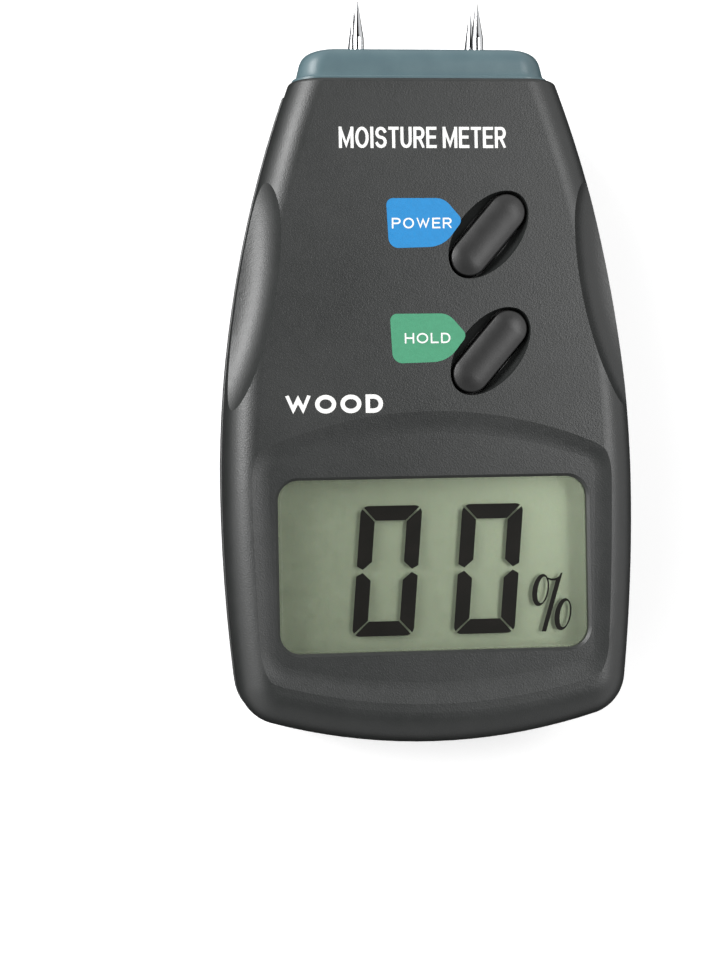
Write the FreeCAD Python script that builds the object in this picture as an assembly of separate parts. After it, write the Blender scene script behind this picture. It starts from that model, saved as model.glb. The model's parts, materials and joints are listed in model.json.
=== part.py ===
"""Hand-held four-pin moisture meter, modelled as its separate pieces in millimetres.

Frame: the meter lies on its back. +Z comes out of the display face, +Y points along the pins and +X is to
the right of the display. The origin is on the back face, midway across, within half a millimetre of the
centre of the bounding box's underside.
"""

import FreeCAD
import Part

import math
import os

# Driving dimensions of the case
HALF_WIDTH = 35.0  # back shell at its widest
BOTTOM_Y = -63.0  # rounded end below the display
TOP_Y = 48.0  # flat end that the pin block comes out of
TIP_Y = 63.8  # pin tips
DEPTH = 27.0
SPLIT_Z = 13.0  # parting plane between the two shells
WALL = 2.0
STEP = 0.5  # the front cover is this much smaller all round than the back shell
SHOULDER_R = 5.6
BACK_EDGE_R = 5.0
END_EDGE_R = 0.7
PARTING_EDGE_R = 0.3

# Plan outline: arcs that meet in tangents, all with centres that stay put when the outline is offset
WIDEST_Y = -20.0
UPPER_SIDE_R = 200.0
LOWER_SIDE_R = 300.0
BOTTOM_R = 98.0
CORNER_R = 8.0

# Finger scallops in the front cover
SCALLOP_Y = 24.0  # where the two arcs of its plan meet
SCALLOP_LOWER_R = 68.0
SCALLOP_UPPER_R = 25.0
SCALLOP_REACH = (44.0, 18.0)  # how far its plan runs towards the display end and the pin end
SCALLOP_PROFILE = [  # (z, x) from above the face down to the side
    (28.0, 24.0),
    (27.0, 24.45),
    (25.2, 25.4),
    (23.8, 26.6),
    (22.7, 28.2),
    (21.7, 31.6),
]
SCALLOP_WALL = (-1.3, -1.6)  # from the scallop to the inside of the wall under it, as (x, z)

# Display: window in a shallow panel with bowed ends
WINDOW_Y = -32.5
WINDOW_HALF = (25.8, 14.3)
WINDOW_R = 3.4
PANEL_DEPTH = 0.45
PANEL_TOP_Y = -9.8
PANEL_BOTTOM_Y = -52.8
PANEL_TOP_CORNER = (28.2, -15.4)
PANEL_BOTTOM_CORNER = (27.4, -49.0)
PANEL_CORNER_R = 3.5
PANEL_WALL = ((-0.9, 0.0), (0.0, 0.04), (1.1, 0.2), (2.2, 0.39), (3.1, 0.49), (4.2, 0.75))  # (out, up)
WINDOW_BEVEL = 0.45
LENS_TOP = DEPTH - PANEL_DEPTH - 0.35
LENS_GAP = 0.2
LENS_EDGE_R = 0.45
LENS_FLANGE_HALF = (28.0, 16.5)
LENS_FLANGE_R = 4.0
LENS_FLANGE = 1.0
GASKET = 0.15
LCD_GLASS = 1.1
POLARIZER = 0.2
LCD_HALF_X = 27.4
LCD_Y = (-49.5, -13.2)
LCD_LEDGE = 3.2  # the front glass runs this far past the rear one, for the contacts
LCD_TOP = 23.3

# Buttons
BUTTONS = {"power": (9.9, 22.0), "hold": (9.9, 2.7)}
BUTTON_ANGLE = 49.2
BUTTON_R = 3.0
BUTTON_REACH = 4.95  # from its centre to the centre of each round end
BUTTON_TOP = DEPTH + 0.5
BUTTON_CROWN = 0.75  # the rise of its crowned top
BUTTON_EDGE_R = 0.35
BUTTON_GAP = 0.4
DISH_HALF = (8.55, 5.1)
DISH_DEPTH = 2.0
COLLAR_BOTTOM = 23.4

# Circuit board and what stands on it
BOARD_Z = 15.5
BOARD_T = 1.6
BOARD_TOP = BOARD_Z + BOARD_T
BOARD_Y = (-27.0, 34.5)
BOARD_INSET = 4.2
MAT_T = 1.0
DOME_TOP = 21.0

# Fasteners
CASE_SCREWS = [(20.5, 31.0), (-20.5, 31.0), (28.3, -6.5), (-28.3, -6.5)]
CASE_BOSS_R = 3.0
CASE_SCREW_R = 1.25
CASE_HEAD_R = 2.6
CASE_SEAT_Z = 9.0
BOARD_SCREWS = [(20.3, 13.0), (-20.3, 13.0), (21.5, -7.5), (-21.5, -7.5)]
BOARD_BOSS_R = 2.0
BOARD_SCREW_R = 0.75
FIT = 0.05  # clearance round a screw, a pin's shank or another close fit

# Pin block and pins
PIN_X = 10.3
PIN_Z = (9.9, 17.1)  # rear row and front row
PIN_R = 1.05
PIN_CONE = 6.8
SHANK_R = 1.5
NECK_MID_Z = 13.5
NECK_TOP_Y = 54.0
BLOCK_Y = 38.0  # inner end of the block
NECK_SECTIONS = [  # (y, half width, half height, corner radius)
    (48.9, 21.55, 9.8, 4.4),
    (51.6, 20.6, 9.6, 4.2),
    (52.6, 20.15, 9.45, 4.1),
    (53.2, 19.6, 9.25, 3.95),
    (53.65, 18.75, 8.95, 3.7),
    (53.88, 17.7, 8.5, 3.4),
    (NECK_TOP_Y, 16.6, 8.0, 3.1),
]
LIP = (21.85, 10.15, 4.7)  # half width, half height and corner radius of the block's rim on the case's end
LIP_Y = 1.2  # how far the rim stands out
LIP_EDGE_R = 0.3

# Battery and its door
BATTERY_X = (-27.0, 19.0)
BATTERY_Y = (-55.5, -29.0)
BATTERY_Z = (2.5, 20.0)
DOOR_HALF_X = 27.4
DOOR_Y = -27.5
DOOR_END_Z = 9.0
DOOR_GAP = 0.15
RAIL_W = 1.0
RAIL_Z = (0.9, 1.8)

FAR = 100.0  # further than any face of the meter


def vec(x, y, z=0.0):
    return FreeCAD.Vector(x, y, z)


def box(x, y, z):
    """A box from three (low, high) pairs."""
    return Part.makeBox(x[1] - x[0], y[1] - y[0], z[1] - z[0], vec(x[0], y[0], z[0]))


def rod(radius, start, end):
    """A cylinder from one point to another."""
    return Part.makeCylinder(radius, (end - start).Length, start, end - start)


def fuse(shapes):
    joined = shapes[0]
    for other in shapes[1:]:
        joined = joined.fuse(other)
    return joined.removeSplitter()


def arc_edge(centre, radius, start, end):
    """An arc in the XY plane from angle start to angle end, in radians."""
    points = []
    for angle in (start, (start + end) / 2, end):
        points.append(vec(centre[0] + radius * math.cos(angle), centre[1] + radius * math.sin(angle)))
    return Part.Arc(*points).toShape()


def line(a, b):
    return Part.LineSegment(a, b).toShape()


def mirrored(shape):
    """The same shape on the other side of X = 0."""
    return shape.mirror(vec(0, 0, 0), vec(1, 0, 0))


def both_sides(shape):
    return [shape, mirrored(shape)]


def edge_start(edge):
    return edge.valueAt(edge.FirstParameter)


def edge_end(edge):
    return edge.valueAt(edge.LastParameter)


def loop_face(right_edges):
    """A face from the edges of its right half, which run from the axis X = 0 back to it."""
    edges = list(right_edges)
    for edge in right_edges:
        edges.append(mirrored(edge))
    return Part.Face(Part.Wire(Part.__sortEdges__(edges)))


def rounded_rectangle(half_x, half_y, radius, centre=(0.0, 0.0), z=0.0):
    """A face in the XY plane with four round corners."""
    cx, cy = half_x - radius, half_y - radius
    corners = [(cx, cy, 0), (-cx, cy, 1), (-cx, -cy, 2), (cx, -cy, 3)]
    edges = []
    for x, y, quarter in corners:
        start = quarter * math.pi / 2
        edges.append(arc_edge((x, y), radius, start, start + math.pi / 2))
    joined = []
    for index, edge in enumerate(edges):
        joined.append(edge)
        joined.append(line(edge_end(edge), edge_start(edges[(index + 1) % 4])))
    face = Part.Face(Part.Wire(joined))
    face.translate(vec(centre[0], centre[1], z))
    return face


def slab(face, z):
    """The face extruded from z[0] to z[1]; the face lies at z = 0."""
    solid = face.extrude(vec(0, 0, z[1] - z[0]))
    solid.translate(vec(0, 0, z[0]))
    return solid


# The case


def corner_centre():
    """Centre of the bottom corner's arc, which touches the lower side arc and the bottom arc inside."""
    sx, sy = HALF_WIDTH - LOWER_SIDE_R, WIDEST_Y
    by = BOTTOM_Y + BOTTOM_R
    side, bottom = LOWER_SIDE_R - CORNER_R, BOTTOM_R - CORNER_R
    apart = math.hypot(sx, by - sy)
    along = (side**2 - bottom**2 + apart**2) / (2 * apart)
    off = math.sqrt(side**2 - along**2)
    ux, uy = -sx / apart, (by - sy) / apart
    return sx + ux * along + uy * off, sy + uy * along - ux * off


def plan(inset):
    """The case's outline moved inward by inset, open-ended past the flat end so that it can be cut there."""
    upper_centre = (HALF_WIDTH - UPPER_SIDE_R, WIDEST_Y)
    lower_centre = (HALF_WIDTH - LOWER_SIDE_R, WIDEST_Y)
    bottom_centre = (0.0, BOTTOM_Y + BOTTOM_R)
    corner = corner_centre()
    upper_r = UPPER_SIDE_R - inset
    past_end = TOP_Y + 12.0
    top_angle = math.asin((past_end - WIDEST_Y) / upper_r)
    side_angle = math.atan2(corner[1] - lower_centre[1], corner[0] - lower_centre[0])
    bottom_angle = math.atan2(corner[1] - bottom_centre[1], corner[0] - bottom_centre[0])
    upper = arc_edge(upper_centre, upper_r, top_angle, 0.0)
    lower = arc_edge(lower_centre, LOWER_SIDE_R - inset, 0.0, side_angle)
    round_corner = arc_edge(corner, CORNER_R - inset, side_angle, bottom_angle)
    bottom = arc_edge(bottom_centre, BOTTOM_R - inset, bottom_angle, -math.pi / 2)
    top = line(vec(0, past_end), edge_start(upper))
    return loop_face([top, upper, lower, round_corner, bottom])


def edges_at(shape, z, below_y):
    """The shape's edges that lie in the plane at height z, leaving out those that reach below_y or beyond."""
    found = []
    for edge in shape.Edges:
        box_ = edge.BoundBox
        if abs(box_.ZMin - z) < 1e-4 and abs(box_.ZMax - z) < 1e-4 and box_.YMin < below_y:
            found.append(edge)
    return found


def case_block(inset, z, edge_z, radius, end_y):
    """The case's outline as a solid with one long edge rounded, cut off square at end_y."""
    block = slab(plan(inset), z)
    block = block.makeFillet(radius, edges_at(block, edge_z, TOP_Y))
    return block.common(box((-FAR, FAR), (-FAR, end_y), (-FAR, FAR)))


def end_edges(shape, y):
    """The edges of the flat end at y, leaving out those on the parting plane."""
    found = []
    for edge in shape.Edges:
        span = edge.BoundBox
        on_end = abs(span.YMin - y) < 1e-4 and abs(span.YMax - y) < 1e-4
        on_parting = abs(span.ZMin - SPLIT_Z) < 1e-3 and abs(span.ZMax - SPLIT_Z) < 1e-3
        if on_end and not on_parting:
            found.append(edge)
    return found


def eased(skin):
    """A shell's outer form with its flat end and its parting edge slightly rounded."""
    skin = skin.makeFillet(END_EDGE_R, end_edges(skin, TOP_Y))
    return skin.makeFillet(PARTING_EDGE_R, edges_at(skin, SPLIT_Z, TOP_Y - END_EDGE_R - 0.1))


def scallop(inward):
    """The tool that cuts the right finger scallop, moved by inward, an (x, z) pair."""
    sections = []
    low, high = SCALLOP_Y - SCALLOP_REACH[0], SCALLOP_Y + SCALLOP_REACH[1]
    for z, inner_x in SCALLOP_PROFILE:
        x = inner_x + inward[0]
        low_angle = math.asin((SCALLOP_Y - low) / SCALLOP_LOWER_R)
        high_angle = math.asin((high - SCALLOP_Y) / SCALLOP_UPPER_R)
        upper = arc_edge((x + SCALLOP_UPPER_R, SCALLOP_Y), SCALLOP_UPPER_R, math.pi - high_angle, math.pi)
        lower = arc_edge((x + SCALLOP_LOWER_R, SCALLOP_Y), SCALLOP_LOWER_R, math.pi, math.pi + low_angle)
        outer_x = HALF_WIDTH + 20.0
        wire = Part.Wire(
            [
                upper,
                lower,
                line(edge_end(lower), vec(outer_x, low)),
                line(vec(outer_x, low), vec(outer_x, high)),
                line(vec(outer_x, high), edge_start(upper)),
            ]
        )
        wire.translate(vec(0, 0, z + inward[1]))
        sections.append(wire)
    return Part.makeLoft(sections, True, False)


def panel_face(grow):
    """The display panel's outline: two bowed ends, nearly straight sides and round corners."""
    top_corner = vec(PANEL_TOP_CORNER[0] + grow, PANEL_TOP_CORNER[1] + grow * 0.4)
    low_corner = vec(PANEL_BOTTOM_CORNER[0] + grow, PANEL_BOTTOM_CORNER[1] - grow * 0.6)
    top = Part.Arc(mirror_point(top_corner), vec(0, PANEL_TOP_Y + grow), top_corner).toShape()
    bottom = Part.Arc(low_corner, vec(0, PANEL_BOTTOM_Y - grow), mirror_point(low_corner)).toShape()
    right = line(top_corner, low_corner)
    left = line(mirror_point(low_corner), mirror_point(top_corner))
    prism = Part.Face(Part.Wire([top, right, bottom, left])).extrude(vec(0, 0, 1))
    upright = [e for e in prism.Edges if e.BoundBox.ZLength > 0.5]
    prism = prism.makeFillet(PANEL_CORNER_R + grow, upright)
    floor = [f for f in prism.Faces if abs(f.BoundBox.ZMax) < 1e-6]
    return floor[0]


def mirror_point(point):
    return vec(-point.x, point.y, point.z)


def panel_cut():
    """The recess round the window, whose wall rises in a soft double bend."""
    wires = []
    for out, up in PANEL_WALL:
        outline = panel_face(out).OuterWire
        outline.translate(vec(0, 0, DEPTH - PANEL_DEPTH + up))
        wires.append(outline)
    return Part.makeLoft(wires, True, False)


def window_cut():
    """The display opening, with a bevel round its front edge."""
    panel_z = DEPTH - PANEL_DEPTH
    centre = (0.0, WINDOW_Y)
    hole = slab(rounded_rectangle(*WINDOW_HALF, WINDOW_R, centre), (DEPTH - WALL - 1, DEPTH))
    wires = []
    for grow, z in ((0.0, panel_z - WINDOW_BEVEL), (WINDOW_BEVEL, panel_z), (WINDOW_BEVEL, panel_z + 0.5)):
        half_x, half_y = WINDOW_HALF[0] + grow, WINDOW_HALF[1] + grow
        wires.append(rounded_rectangle(half_x, half_y, WINDOW_R + grow, centre, z).OuterWire)
    return hole.fuse(Part.makeLoft(wires, True, True))


def capsule(radius, reach=BUTTON_REACH):
    """A stadium-shaped face, its long axis along X."""
    right = arc_edge((reach, 0), radius, -math.pi / 2, math.pi / 2)
    left = arc_edge((-reach, 0), radius, math.pi / 2, 3 * math.pi / 2)
    top = line(edge_end(right), edge_start(left))
    bottom = line(edge_end(left), edge_start(right))
    return Part.Face(Part.Wire([right, top, left, bottom]))


def ellipse_wire(half_long, half_short, z):
    ellipse = Part.Ellipse(vec(0, 0), half_long, half_short)
    wire = Part.Wire(ellipse.toShape())
    wire.translate(vec(0, 0, z))
    return wire


def at_button(shape, button):
    """Turns a shape made at the origin to a button's slant and moves it there."""
    placed = shape.copy()
    placed.rotate(vec(0, 0), vec(0, 0, 1), BUTTON_ANGLE)
    placed.translate(vec(*BUTTONS[button]))
    return placed


def dish():
    """The scooped oval round a button; it narrows to the button's slot."""
    long_half, short_half = DISH_HALF
    slot_r = BUTTON_R + BUTTON_GAP
    shares = ((-0.5, 0.0), (0.0, 0.0), (0.55, 0.35), (1.0, 1.0))  # (depth, how far in towards the slot)
    wires = []
    for depth, inward in shares:
        half = short_half + (slot_r + 0.1 - short_half) * inward
        wires.append(ellipse_wire(long_half - 0.15 * inward, half, DEPTH - DISH_DEPTH * depth))
    return Part.makeLoft(wires[1:], True, False).fuse(Part.makeLoft(wires[:2], True, True))


def rebate(inset, z, end_y):
    """A ring that follows the outline, from inset to the inside of the wall."""
    ring = slab(plan(inset), z).cut(slab(plan(WALL + STEP + 0.3), z))
    return ring.common(box((-FAR, FAR), (-FAR, end_y), (-FAR, FAR)))


def neck_opening(grow):
    return neck_slab(20.9 + grow, 9.4 + grow, 4.2 + grow, (BLOCK_Y, TOP_Y + 5))


def neck_slab(half_x, half_z, radius, y):
    """A block with a rounded rectangular section, running along Y."""
    face = rounded_rectangle(half_x, half_z, radius)
    face.rotate(vec(0, 0), vec(1, 0, 0), 90)
    face.translate(vec(0, y[0], NECK_MID_Z))
    return face.extrude(vec(0, y[1] - y[0], 0))


def front_cover():
    skin = case_block(STEP, (SPLIT_Z, DEPTH), DEPTH, SHOULDER_R, TOP_Y)
    skin = eased(skin)
    ceiling = DEPTH - WALL
    cavity = case_block(WALL + STEP, (SPLIT_Z - 1, ceiling), ceiling, SHOULDER_R - WALL, TOP_Y - WALL)
    for tool in both_sides(scallop((0.0, 0.0))):
        skin = skin.cut(tool)
    for tool in both_sides(scallop(SCALLOP_WALL)):
        cavity = cavity.cut(tool)
    inside = []
    for x, y in CASE_SCREWS:
        boss = rod(CASE_BOSS_R, vec(x, y, SPLIT_Z), vec(x, y, DEPTH - WALL / 2))
        inside.append(boss.cut(rod(CASE_SCREW_R + FIT, vec(x, y, SPLIT_Z - 1), vec(x, y, DEPTH - 5))))
    for x, y in BOARD_SCREWS:
        boss = rod(BOARD_BOSS_R, vec(x, y, BOARD_TOP), vec(x, y, DEPTH - WALL / 2))
        inside.append(boss.cut(rod(BOARD_SCREW_R + FIT, vec(x, y, BOARD_Z), vec(x, y, DEPTH - 4))))
    for button in BUTTONS:
        inside.append(at_button(slab(capsule(BUTTON_R + 2.0), (COLLAR_BOTTOM, DEPTH - WALL / 2)), button))
    cover = skin.cut(cavity)
    for piece in inside:
        cover = cover.fuse(piece.common(skin))
    for button in BUTTONS:
        cover = cover.cut(at_button(dish(), button))
        slot = slab(capsule(BUTTON_R + BUTTON_GAP), (COLLAR_BOTTOM - 1, DEPTH + 1))
        cover = cover.cut(at_button(slot, button))
    cover = cover.cut(panel_cut()).cut(window_cut())
    cover = cover.cut(neck_opening(0.1))
    cover = cover.cut(rebate(1.0, (SPLIT_Z - 1, SPLIT_Z + 0.95), 40.2))
    return cover.removeSplitter()


def back_outer():
    return case_block(0.0, (0.0, SPLIT_Z), 0.0, BACK_EDGE_R, TOP_Y)


def back_cavity():
    return case_block(WALL, (WALL, SPLIT_Z + 1), WALL, BACK_EDGE_R - WALL, TOP_Y - WALL)


def back_cover():
    skin = eased(back_outer())
    inside = []
    for x, y in CASE_SCREWS:
        inside.append(rod(CASE_BOSS_R + 0.8, vec(x, y, WALL / 2), vec(x, y, SPLIT_Z)))
    inner_z = (WALL / 2, BOARD_Z - 0.4)
    inside.append(box((-DOOR_HALF_X - 1.2, DOOR_HALF_X + 1.2), (DOOR_Y + 0.1, DOOR_Y + 1.3), inner_z))
    for x in (-DOOR_HALF_X - 2.6, DOOR_HALF_X + 0.15):
        inside.append(box((x, x + 2.45), (-57.0, DOOR_Y + 0.2), (WALL / 2, 3.2)))
    for y in (-10.0, 0.0, 10.0):
        inside.append(box((-16.0, 16.0), (y, y + 1.2), (WALL / 2, 4.0)))
    cover = skin.cut(back_cavity())
    for piece in inside:
        cover = cover.fuse(piece.common(skin.fuse(box((-FAR, FAR), (-FAR, TOP_Y), (SPLIT_Z, 20.0)))))
    lip = rebate(1.1, (SPLIT_Z - 1, SPLIT_Z + 0.8), 40.0)
    lip = lip.cut(slab(plan(WALL + STEP + 0.3), (0, 20))).cut(slab(plan(WALL), (SPLIT_Z - 2, 20)))
    cover = cover.fuse(lip)
    for x, y in CASE_SCREWS:
        cover = cover.cut(rod(CASE_HEAD_R + 0.3, vec(x, y, -1), vec(x, y, CASE_SEAT_Z)))
        cover = cover.cut(rod(CASE_SCREW_R + 0.35, vec(x, y, -1), vec(x, y, SPLIT_Z + 2)))
    cover = cover.cut(neck_opening(0.1))
    hole_x = (-DOOR_HALF_X - DOOR_GAP, DOOR_HALF_X + DOOR_GAP)
    cover = cover.cut(box(hole_x, (-FAR, DOOR_Y + DOOR_GAP), (-1.0, DOOR_END_Z + DOOR_GAP)))
    groove_x = DOOR_HALF_X + RAIL_W + 0.15
    groove = box((-groove_x, groove_x), (-FAR, DOOR_Y + 0.1), (RAIL_Z[0] - 0.1, RAIL_Z[1] + 0.1))
    cover = cover.cut(groove)
    notch = box((20.5, 25.5), (DOOR_Y - 1, DOOR_Y + 3), (10.5, 20.0))
    cover = cover.cut(notch)
    recess = slab(rounded_rectangle(19.0, 15.0, 2.0, (0.0, 7.0)), (-1.0, 0.3))
    return cover.cut(recess).removeSplitter()


def battery_door():
    region = box((-DOOR_HALF_X, DOOR_HALF_X), (-FAR, DOOR_Y), (-1.0, DOOR_END_Z))
    door = back_outer().cut(back_cavity()).common(region)
    for x in (-DOOR_HALF_X - RAIL_W, DOOR_HALF_X - 0.5):
        door = door.fuse(box((x, x + RAIL_W + 0.5), (-56.0, DOOR_Y - 0.3), RAIL_Z))
    tab_x, tab_end, slit = 7.0, DOOR_Y - 13.0, 0.6
    for x in (-tab_x - slit, tab_x):
        door = door.cut(box((x, x + slit), (tab_end, DOOR_Y + 1), (-1.0, 3.0)))
    for index in range(6):
        y = DOOR_Y - 3.0 - 1.5 * index
        door = door.cut(box((-tab_x + 1.2, tab_x - 1.2), (y - 0.7, y), (-1.0, 0.35)))
    arrow = Part.makePolygon([vec(-2.6, -44.0), vec(2.6, -44.0), vec(0, -48.5), vec(-2.6, -44.0)])
    door = door.cut(slab(Part.Face(arrow), (-1.0, 0.3)))
    return door.removeSplitter()


# Pin block, pins and their contacts


def bores(shape, radius, y):
    for x in (-PIN_X, PIN_X):
        for z in PIN_Z:
            shape = shape.cut(rod(radius, vec(x, y[0], z), vec(x, y[1], z)))
    return shape


def pin_block():
    wires = []
    for y, half_x, half_z, radius in NECK_SECTIONS:
        wire = rounded_rectangle(half_x, half_z, radius).OuterWire
        wire.rotate(vec(0, 0), vec(1, 0, 0), 90)
        wire.translate(vec(0, y, NECK_MID_Z))
        wires.append(wire)
    neck = Part.makeLoft(wires, True, False)
    lip = neck_slab(*LIP, (TOP_Y + 0.05, TOP_Y + LIP_Y))
    lip = lip.makeFillet(LIP_EDGE_R, [e for e in lip.Edges if abs(e.BoundBox.YMin - TOP_Y - LIP_Y) < 1e-4])
    shaft = neck_slab(20.9, 9.4, 4.2, (TOP_Y - WALL - 0.1, TOP_Y + 0.1))
    flange = neck_slab(21.1, 10.2, 4.6, (TOP_Y - WALL - 2.0, TOP_Y - WALL - 0.05))
    inner = neck_slab(19.0, 8.6, 3.0, (BLOCK_Y, TOP_Y - WALL - 1.9))
    block = fuse([neck, lip, shaft, flange, inner])
    block = block.cut(box((-4.0, 4.0), (BLOCK_Y - 1, BLOCK_Y + 5.0), (0.0, 30.0)))
    return bores(block, SHANK_R + FIT, (BLOCK_Y - 1, NECK_TOP_Y + 1))


def pin(x, z):
    """One electrode: a shank held in the block, and a thinner stem with a tapered point."""
    blunt = 0.06
    shank = rod(SHANK_R, vec(x, BLOCK_Y - 2.9, z), vec(x, NECK_TOP_Y, z))
    stem = rod(PIN_R, vec(x, NECK_TOP_Y, z), vec(x, TIP_Y - PIN_CONE, z))
    point = Part.makeCone(PIN_R, blunt, PIN_CONE, vec(x, TIP_Y - PIN_CONE, z), vec(0, 1, 0))
    return fuse([shank, stem, point])


def contact_bar(x):
    """A brass strip that joins the two pins of one side and reaches over the board's edge."""
    strip = box((x - 2.2, x + 2.2), (BLOCK_Y - 0.5, BLOCK_Y), (PIN_Z[0] - 3.0, PIN_Z[1] + 3.0))
    tab = box((x + 3.3, x + 5.5), (BLOCK_Y - 5.0, BLOCK_Y), (BOARD_TOP, BOARD_TOP + 0.5))
    bridge = box((x + 2.2, x + 5.5), (BLOCK_Y - 0.5, BLOCK_Y), (BOARD_TOP - 2.0, BOARD_TOP + 0.5))
    return bores(fuse([strip, tab, bridge]), SHANK_R + FIT, (BLOCK_Y - 2, BLOCK_Y + 1))


def pin_nuts():
    nuts = []
    for x in (-PIN_X, PIN_X):
        for z in PIN_Z:
            corners = []
            for turn in range(7):
                angle = turn * math.pi / 3
                corners.append(vec(x + 3.1 * math.cos(angle), BLOCK_Y - 2.4, z + 3.1 * math.sin(angle)))
            nut = Part.Face(Part.makePolygon(corners)).extrude(vec(0, 1.9, 0))
            nuts.append(nut.cut(rod(SHANK_R + FIT, vec(x, BLOCK_Y - 3, z), vec(x, BLOCK_Y, z))))
    return nuts


# Display


def window_lens():
    centre = (0.0, WINDOW_Y)
    top = DEPTH - WALL - GASKET
    flange = slab(rounded_rectangle(*LENS_FLANGE_HALF, LENS_FLANGE_R, centre), (top - LENS_FLANGE, top))
    half_x, half_y = [half - LENS_GAP for half in WINDOW_HALF]
    raised = slab(rounded_rectangle(half_x, half_y, WINDOW_R - LENS_GAP, centre), (top - 0.1, LENS_TOP))
    rim = [e for e in raised.Edges if abs(e.BoundBox.ZMin - LENS_TOP) < 1e-4]
    return fuse([flange, raised.makeFillet(LENS_EDGE_R, rim)])


def window_adhesive():
    centre = (0.0, WINDOW_Y)
    top = DEPTH - WALL
    ring = slab(rounded_rectangle(*LENS_FLANGE_HALF, LENS_FLANGE_R, centre), (top - GASKET, top))
    half_x, half_y = [half + 0.3 for half in WINDOW_HALF]
    return ring.cut(slab(rounded_rectangle(half_x, half_y, WINDOW_R, centre), (top - 1, top + 1)))


def lcd_layer(top, thickness, inset, short_end):
    x = (-LCD_HALF_X + inset, LCD_HALF_X - inset)
    return box(x, (LCD_Y[0] + inset, LCD_Y[1] - inset - short_end), (top - thickness, top))


def lcd_layers():
    front_top = LCD_TOP - POLARIZER
    rear_top = front_top - LCD_GLASS
    return {
        "lcd_front_polarizer": lcd_layer(LCD_TOP, POLARIZER, 0.6, LCD_LEDGE),
        "lcd_front_glass": lcd_layer(front_top, LCD_GLASS, 0.0, 0.0),
        "lcd_rear_glass": lcd_layer(rear_top, LCD_GLASS, 0.0, LCD_LEDGE),
        "lcd_reflector": lcd_layer(rear_top - LCD_GLASS, POLARIZER, 0.6, LCD_LEDGE),
    }


def display_frame():
    """The carrier that holds the display glass in line with the window."""
    floor_z, top_z = 20.2, 23.8
    x, y = LCD_HALF_X + 0.15, (LCD_Y[0] - 0.15, LCD_Y[1] + 0.15)
    ring = box((-x - 1.3, x + 1.3), (y[0] - 1.3, y[1] + 1.3), (floor_z, top_z))
    ring = ring.cut(box((-x, x), y, (floor_z + 0.45, top_z + 1)))
    ring = ring.cut(box((-x + 1.4, x - 1.4), (y[0] + 1.4, y[1] - 0.2), (floor_z - 1, top_z)))
    for side in (-1, 1):
        leg_x = sorted((side * (x - 0.4), side * (x + 1.3)))
        ring = ring.fuse(box(leg_x, (-26.0, -12.0), (BOARD_TOP, floor_z)))
    return ring.removeSplitter()


def zebra_strip():
    """The striped rubber connector between the board and the glass ledge."""
    ledge_z = LCD_TOP - POLARIZER - LCD_GLASS
    return box((-25.0, 25.0), (LCD_Y[1] - LCD_LEDGE + 0.3, LCD_Y[1] - 0.4), (BOARD_TOP, ledge_z))


# Buttons and keypad


def crowned_bar(radius, reach, z):
    """A round-ended bar along X whose top is crowned across its width and at its ends."""
    edge_z = z[1] - BUTTON_CROWN
    crown_r = (radius**2 + BUTTON_CROWN**2) / (2 * BUTTON_CROWN)
    half_turn = math.asin(radius / crown_r) / 2
    summit, side, foot = vec(0, 0, z[1]), vec(0, radius, edge_z), vec(0, radius, z[0])
    middle = vec(0, crown_r * math.sin(half_turn), z[1] - crown_r * (1 - math.cos(half_turn)))
    crown = Part.Arc(summit, middle, side).toShape()
    centre = vec(0, 0, z[0])
    half = Part.Face(Part.Wire([crown, line(side, foot), line(foot, centre), line(centre, summit)]))
    half.translate(vec(-reach, 0, 0))
    run = half.extrude(vec(2 * reach, 0, 0))
    end = half.revolve(vec(-reach, 0, 0), vec(0, 0, 1), 180)
    bar = fuse([run, run.mirror(vec(0, 0, 0), vec(0, 1, 0))] + both_sides(end))
    level = [edge for edge in bar.Edges if edge.BoundBox.ZLength < 2e-4]
    rim = [edge for edge in level if abs(edge.BoundBox.ZMin - edge_z) < 1e-4]
    return bar.makeFillet(BUTTON_EDGE_R, rim)


def button_cap(button):
    top = crowned_bar(BUTTON_R, BUTTON_REACH, (COLLAR_BOTTOM - 0.2, BUTTON_TOP))
    flange = slab(capsule(BUTTON_R + 1.0), (COLLAR_BOTTOM - 1.1, COLLAR_BOTTOM - 0.1))
    stem = rod(2.2, vec(0, 0, DOME_TOP), vec(0, 0, COLLAR_BOTTOM - 1.0))
    return at_button(fuse([top, flange, stem]), button)


def dome(button):
    """The rubber web that carries the button and springs it back."""
    low, high = BOARD_TOP + MAT_T, DOME_TOP
    outer = Part.makeCone(4.4, 2.6, high - low, vec(0, 0, low))
    inner = Part.makeCone(3.9, 2.1, high - low - 0.6, vec(0, 0, low))
    return at_button(outer.cut(inner), button)


def contact_pill(button):
    """The conductive plunger under a dome, which bridges two pads when the button is down."""
    return at_button(rod(1.5, vec(0, 0, BOARD_TOP + 0.9), vec(0, 0, DOME_TOP - 0.6)), button)


def keypad_mat():
    mat = slab(rounded_rectangle(7.3, 16.4, 2.0, (9.9, 12.35)), (BOARD_TOP, BOARD_TOP + MAT_T))
    for button in BUTTONS:
        hole = rod(3.8, vec(0, 0, BOARD_TOP - 1), vec(0, 0, BOARD_TOP + 2))
        mat = mat.cut(at_button(hole, button))
    return mat


# Circuit board


def main_board():
    board = slab(plan(BOARD_INSET), (BOARD_Z, BOARD_TOP))
    board = board.common(box((-FAR, FAR), BOARD_Y, (0, FAR)))
    waist = box((24.6, FAR), (-16.0, FAR), (0, FAR))
    corner_x, corner_y = [place - CASE_BOSS_R - 0.5 for place in CASE_SCREWS[0]]
    corner = box((corner_x, FAR), (corner_y, FAR), (0, FAR))
    for tool in both_sides(waist) + both_sides(corner):
        board = board.cut(tool)
    for x, y in BOARD_SCREWS:
        board = board.cut(rod(BOARD_SCREW_R + 0.35, vec(x, y, 0), vec(x, y, 30)))
    return board


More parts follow.
